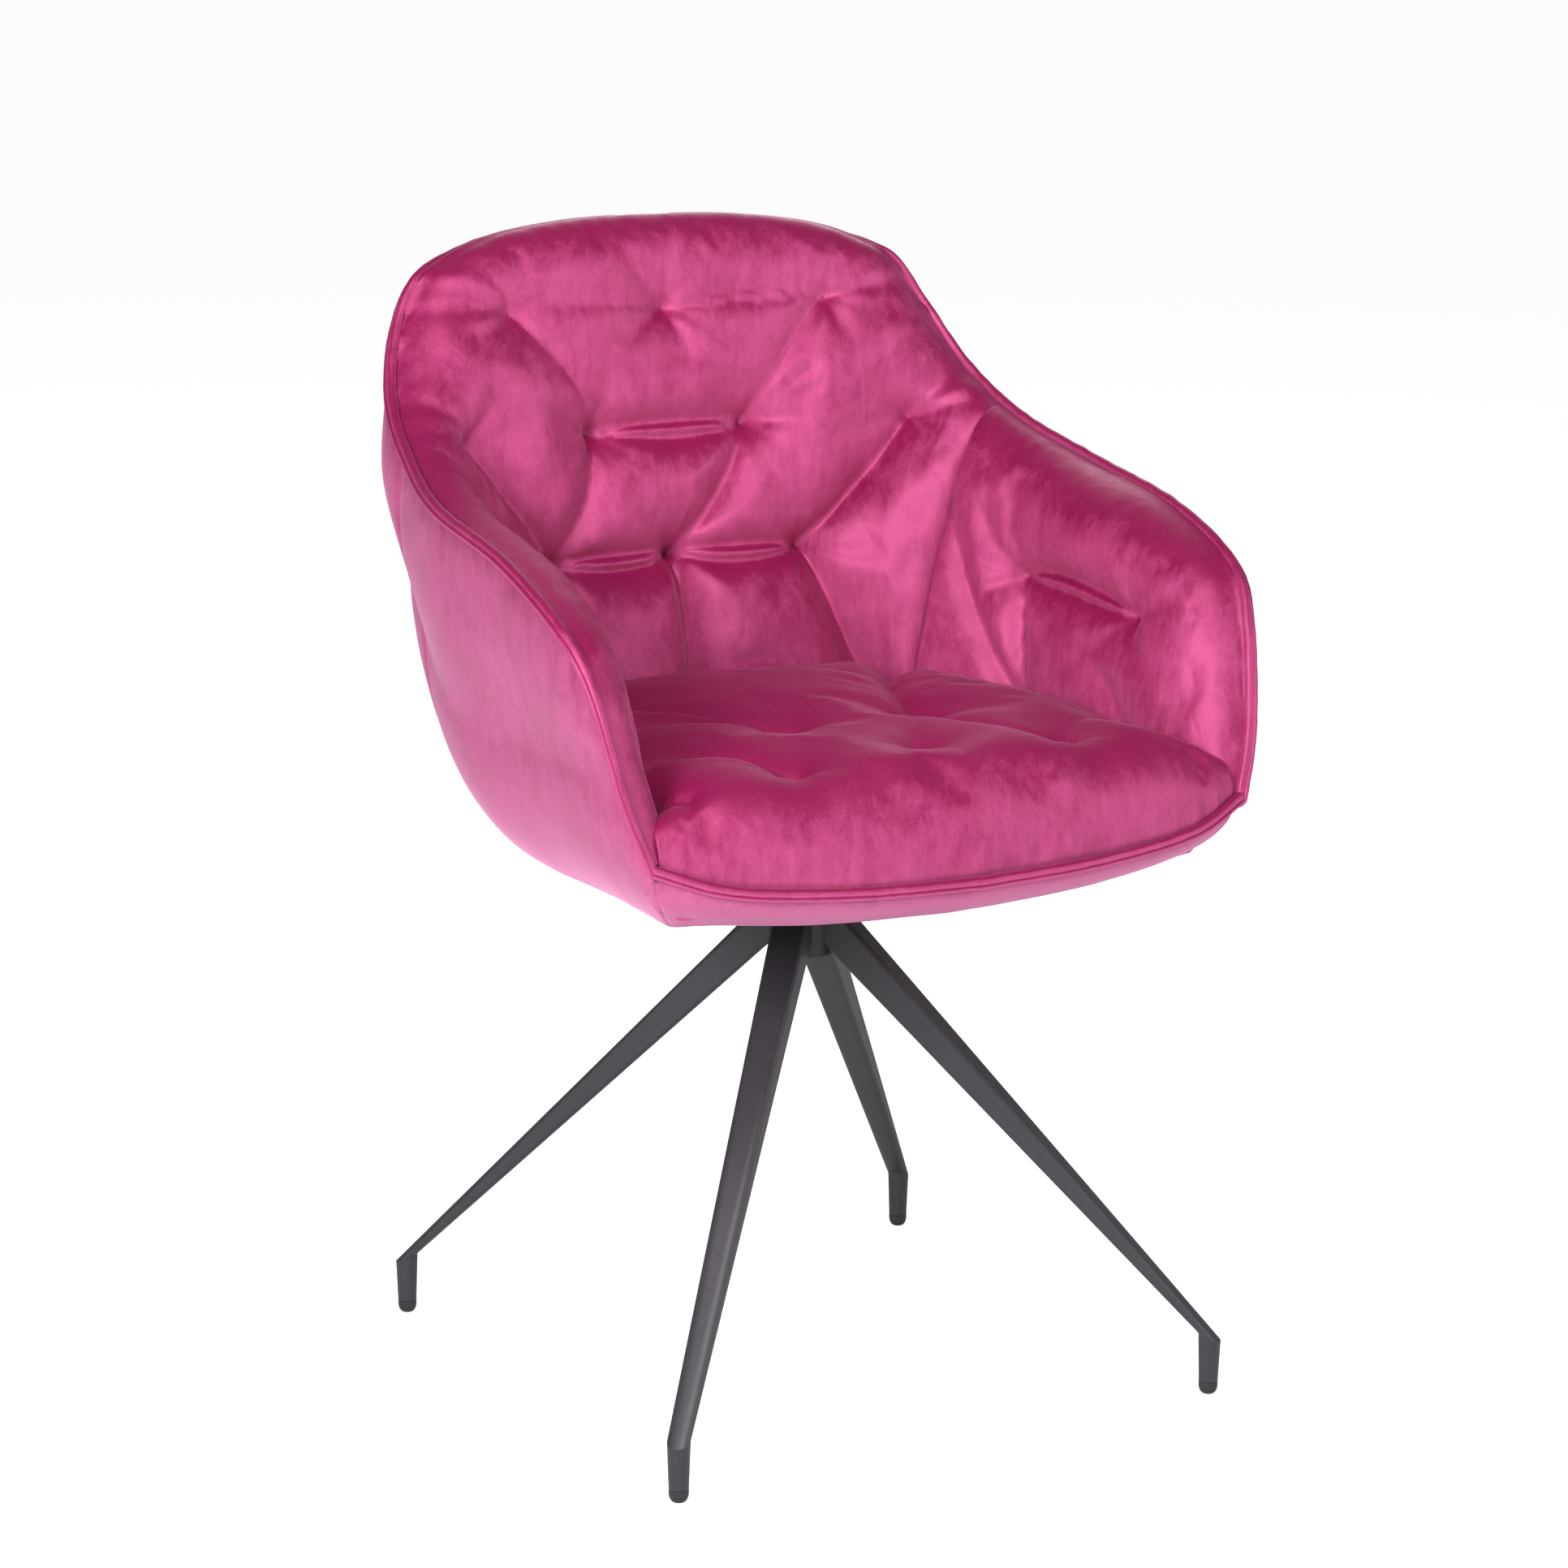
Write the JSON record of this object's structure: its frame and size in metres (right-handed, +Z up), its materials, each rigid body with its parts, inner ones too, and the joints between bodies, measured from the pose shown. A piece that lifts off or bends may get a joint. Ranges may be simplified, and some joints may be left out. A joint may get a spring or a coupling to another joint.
{
  "type": "upholstered swivel tub chair",
  "caption": "Tufted velvet tub chair with wrap-around arms, piped rim and a shell that swivels on a steel base with splayed, tapered legs and upright feet.",
  "frame": {"origin": "on the floor, on the swivel axis, midway between the four feet", "axes": "+Z up, the chair faces -Y, +X to the right seen from the front"},
  "size_m": [0.5756, 0.5274, 0.861],
  "materials": {
    "base_powder_coat": "satin black powder coat with a faint purple tint",
    "glide_plastic": "moulded black plastic",
    "cap_plastic": "moulded black plastic",
    "bush_nylon": "natural nylon",
    "bearing_steel": "ground steel",
    "zinc_hardware": "zinc plated",
    "black_hardware": "black oxide",
    "cage_brass": "stamped",
    "plate_steel": "black painted pressed steel",
    "seat_plywood": "raw birch plywood",
    "shell_plywood": "raw bent plywood",
    "dust_cloth": "black non-woven cloth",
    "cover_velvet": "short-pile magenta velvet",
    "welt_velvet": "short-pile magenta velvet",
    "pad_velvet": "short-pile magenta velvet over foam",
    "tuft_twine": "waxed dark twine"
  },
  "bodies": {
    "base": {"leg_front_left": "base_powder_coat", "leg_front_right": "base_powder_coat", "leg_rear_left": "base_powder_coat", "leg_rear_right": "base_powder_coat", "glide_front_left": "glide_plastic", "glide_front_right": "glide_plastic", "glide_rear_left": "glide_plastic", "glide_rear_right": "glide_plastic", "hub_tube": "base_powder_coat", "hub_cap": "cap_plastic", "bush_lower": "bush_nylon", "bush_upper": "bush_nylon", "race_lower": "bearing_steel", "ball_cage": "cage_brass", "bearing_balls": "bearing_steel"},
    "seat": {"race_upper": "bearing_steel", "spindle": "bearing_steel", "retaining_washer": "bearing_steel", "retaining_bolt": "zinc_hardware", "plate_washers": "zinc_hardware", "tee_nuts": "zinc_hardware", "bracket_screws": "zinc_hardware", "dust_cover_staples": "zinc_hardware", "plate_bolts": "black_hardware", "swivel_plate": "plate_steel", "frame_brackets": "plate_steel", "seat_board": "seat_plywood", "arm_board_left": "shell_plywood", "arm_board_right": "shell_plywood", "back_board": "shell_plywood", "dust_cover": "dust_cloth", "outer_arm_left": "cover_velvet", "outer_arm_right": "cover_velvet", "outer_back": "cover_velvet", "front_border": "cover_velvet", "rim_welt": "welt_velvet", "seat_welt": "welt_velvet", "seat_pad": "pad_velvet", "arm_pad_left": "pad_velvet", "arm_pad_right": "pad_velvet", "back_pad": "pad_velvet", "seat_ties": "tuft_twine", "arm_ties_left": "tuft_twine", "arm_ties_right": "tuft_twine", "back_ties": "tuft_twine"}
  },
  "joints": [
    {"name": "seat_swivel", "type": "hinge", "parent": "base", "child": "seat", "pos_m": [0, 0, 0.38], "axis": [0, 0, 1], "continuous": true}
  ]
}
